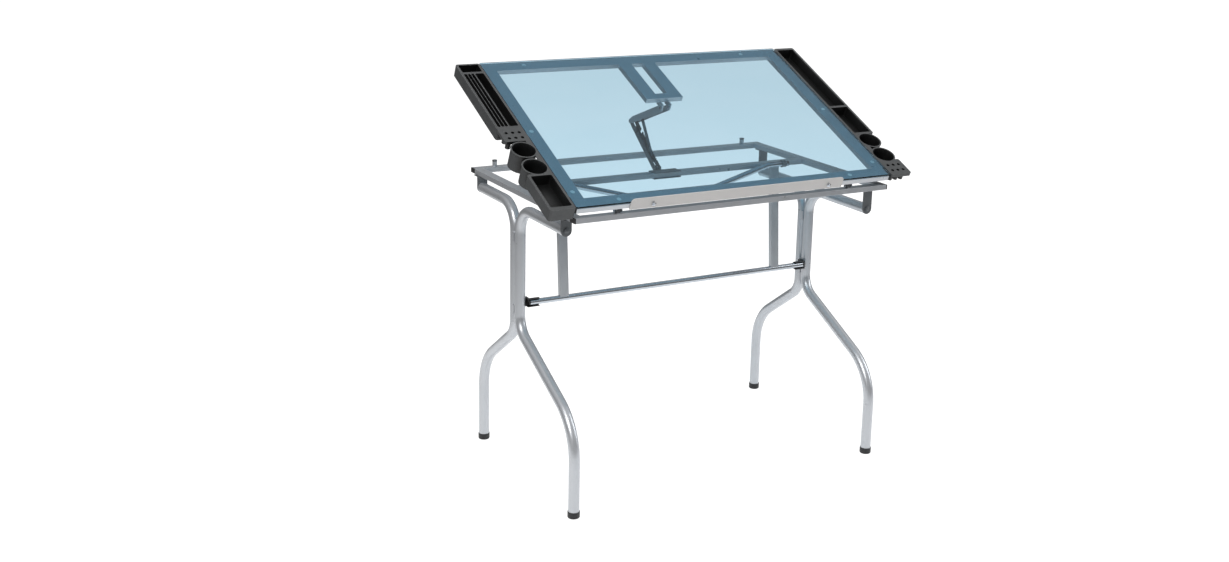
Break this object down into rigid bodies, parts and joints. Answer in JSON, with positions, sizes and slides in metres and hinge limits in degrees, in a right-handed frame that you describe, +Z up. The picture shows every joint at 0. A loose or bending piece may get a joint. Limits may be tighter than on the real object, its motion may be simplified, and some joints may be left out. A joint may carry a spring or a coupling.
{
  "type": "folding drafting table",
  "caption": "Drafting table with a tilting glass top on a ratchet support, tool trays, a sliding pencil ledge and folding bent-tube legs",
  "frame": {"origin": "on the floor under the middle of the table's bounding box", "axes": "+X to the user's right, +Y away from the user towards the raised edge, +Z up; feet stand on z = 0"},
  "size_m": [1.027, 0.6164, 1.0158],
  "materials": {
    "silver_paint": "semi-gloss silver-grey powder coat",
    "dark_steel": "satin dark grey painted sheet steel",
    "bright_chrome": "polished bright plating",
    "black_plastic": "satin black moulded plastic",
    "charcoal_plastic": "fine-grained charcoal moulded plastic",
    "clear_pad": "soft translucent plastic",
    "blue_glass": "polished blue tempered glass",
    "ledge_paint": "satin warm light grey powder coat",
    "spring_steel": "dull yellowish spring strip"
  },
  "bodies": {
    "base": {"base_front_rail": "silver_paint", "base_rear_rail": "silver_paint", "base_left_rail": "silver_paint", "base_right_rail": "silver_paint", "base_middle_rail": "silver_paint", "rail_end_plugs": "black_plastic", "rest_posts": "silver_paint", "rest_post_caps": "dark_steel", "left_leg_brackets": "dark_steel", "right_leg_brackets": "dark_steel", "left_pivot_bolts": "dark_steel", "right_pivot_bolts": "dark_steel", "brace_pivot_clips": "dark_steel", "ratchet_saddle": "dark_steel", "ratchet_base_pin": "bright_chrome", "top_hinge_knuckles": "dark_steel", "top_hinge_pins": "bright_chrome"},
    "left_leg": {"left_front_leg": "silver_paint", "left_rear_leg": "silver_paint", "left_leg_weld_plates": "silver_paint", "left_leg_end_plugs": "black_plastic", "left_feet": "black_plastic", "left_brace_clip": "black_plastic"},
    "right_leg": {"right_front_leg": "silver_paint", "right_rear_leg": "silver_paint", "right_leg_weld_plates": "silver_paint", "right_leg_end_plugs": "black_plastic", "right_feet": "black_plastic", "right_brace_clip": "black_plastic"},
    "brace": {"brace_top_tube": "bright_chrome", "brace_left_upright": "silver_paint", "brace_right_upright": "silver_paint", "brace_stretcher": "bright_chrome", "stretcher_plugs": "black_plastic"},
    "top": {"top_front_bar": "silver_paint", "top_rear_bar": "silver_paint", "top_left_bar": "silver_paint", "top_right_bar": "silver_paint", "top_bar_plugs": "black_plastic", "top_hinge_lugs": "dark_steel", "ratchet_mount": "silver_paint", "ratchet_mount_rivets": "bright_chrome", "glass_pads": "clear_pad", "glass_top": "blue_glass", "ledge_screws": "bright_chrome", "left_tray": "charcoal_plastic", "right_tray": "charcoal_plastic", "tray_screws": "bright_chrome"},
    "ledge": {"pencil_ledge": "ledge_paint"},
    "upper_arm": {"ratchet_upper_arm": "silver_paint", "pawl_pin": "bright_chrome"},
    "lower_arm": {"ratchet_lower_arm": "dark_steel", "ratchet_knee_pin": "bright_chrome"},
    "pawl": {"ratchet_pawl": "dark_steel", "pawl_spring": "spring_steel"}
  },
  "joints": [
    {"name": "top_tilt", "type": "hinge", "parent": "base", "child": "top", "pos_m": [0, -0.2798, 0.741], "axis": [1, 0, 0], "range_deg": [-24.5, 10.5]},
    {"name": "ledge_slide", "type": "slide", "parent": "top", "child": "ledge", "axis": [0, -0.4147, 0.91], "range_m": [-0.006, 0]},
    {"name": "lower_arm_swing", "type": "hinge", "parent": "base", "child": "lower_arm", "pos_m": [-0.008, 0.1027, 0.736], "axis": [1, 0, 0], "range_deg": [-48.2, 20.7]},
    {"name": "upper_arm_swing", "type": "hinge", "parent": "top", "child": "upper_arm", "pos_m": [-0.008, 0.06991, 0.90059], "axis": [1, 0, 0], "range_deg": [-14.6, 33.8]},
    {"name": "pawl_swing", "type": "hinge", "parent": "upper_arm", "child": "pawl", "pos_m": [-0.008, 0.1892, 0.85929], "axis": [1, 0, 0], "range_deg": [-75, 32.3]},
    {"name": "left_leg_fold", "type": "hinge", "parent": "base", "child": "left_leg", "pos_m": [-0.436, 0, 0.691], "axis": [0, -1, 0], "range_deg": [0, 85]},
    {"name": "right_leg_fold", "type": "hinge", "parent": "base", "child": "right_leg", "pos_m": [0.436, 0, 0.658], "axis": [0, 1, 0], "range_deg": [0, 51]},
    {"name": "brace_swing", "type": "hinge", "parent": "base", "child": "brace", "pos_m": [0, 0.0364, 0.731], "axis": [-1, 0, 0], "range_deg": [0, 80.6]}
  ],
  "couplings": [
    {"joint": "lower_arm_swing", "follows": "top_tilt", "ratio": 1.96},
    {"joint": "upper_arm_swing", "follows": "top_tilt", "ratio": -1.368},
    {"joint": "pawl_swing", "follows": "top_tilt", "ratio": 3.05},
    {"joint": "right_leg_fold", "follows": "left_leg_fold", "ratio": 0.6},
    {"joint": "brace_swing", "follows": "left_leg_fold", "ratio": 0.948}
  ]
}
